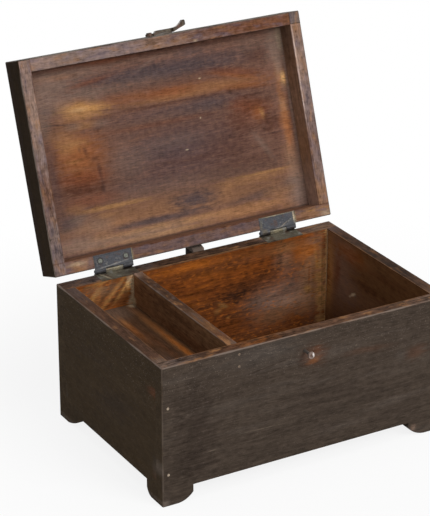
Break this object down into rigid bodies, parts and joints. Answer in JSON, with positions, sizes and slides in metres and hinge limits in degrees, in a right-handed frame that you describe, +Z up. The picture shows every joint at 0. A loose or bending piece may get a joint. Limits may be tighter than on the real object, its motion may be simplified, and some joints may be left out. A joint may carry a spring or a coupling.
{
  "type": "hinged wooden spice box",
  "caption": "Low wooden box on corner feet with a tray lid on butt hinges, a shallow till at one end, a lid stop and a swinging hook latch.",
  "frame": {"origin": "centre of the box's footprint, on the plane that the four feet stand on", "axes": "+X to the right seen from the front, +Y to the hinged back, +Z up"},
  "size_m": [0.3028, 0.3065, 0.3457],
  "materials": {
    "carcase_wood": "old dark brown stain, worn pale at the arrises, orange brown inside",
    "lid_wood": "reddish brown with golden streaks inside, nearly black outside",
    "till_wood": "dark brown, worn pale along its top edge",
    "dark_iron": "dark slate grey, edges rubbed bright",
    "nail_steel": "dull worn steel"
  },
  "bodies": {
    "box": {"front_board": "carcase_wood", "back_board": "carcase_wood", "left_side_board": "carcase_wood", "right_side_board": "carcase_wood", "bottom_board": "carcase_wood", "foot_front_left": "carcase_wood", "foot_front_right": "carcase_wood", "foot_rear_left": "carcase_wood", "foot_rear_right": "carcase_wood", "till_divider": "till_wood", "till_floor": "till_wood", "lid_stop": "carcase_wood", "corner_nails": "nail_steel", "divider_nails": "nail_steel", "bottom_nails": "nail_steel", "foot_nails": "nail_steel", "stop_nails": "nail_steel", "hinge_left_lower_leaf": "dark_iron", "hinge_left_pin": "nail_steel", "hinge_left_rim_nails": "nail_steel", "hinge_right_lower_leaf": "dark_iron", "hinge_right_pin": "nail_steel", "hinge_right_rim_nails": "nail_steel", "latch_stud": "nail_steel"},
    "lid": {"lid_panel": "lid_wood", "lid_left_rail": "lid_wood", "lid_right_rail": "lid_wood", "lid_front_rail": "lid_wood", "lid_rear_rail": "lid_wood", "lid_corner_block": "lid_wood", "lid_nails": "nail_steel", "hinge_left_upper_leaf": "dark_iron", "hinge_left_lip_nails": "nail_steel", "hinge_right_upper_leaf": "dark_iron", "hinge_right_lip_nails": "nail_steel", "latch_pivot": "dark_iron"},
    "latch": {"latch_hook": "dark_iron"}
  },
  "joints": [
    {"name": "lid_hinge", "type": "hinge", "parent": "box", "child": "lid", "pos_m": [0, 0.1005, 0.1396], "axis": [1, 0, 0], "range_deg": [0, 109]},
    {"name": "latch_swing", "type": "hinge", "parent": "lid", "child": "latch", "pos_m": [-0.0125, 0.16884, 0.33468], "axis": [0, -0.3256, -0.9455], "range_deg": [-90, 67.6]}
  ]
}
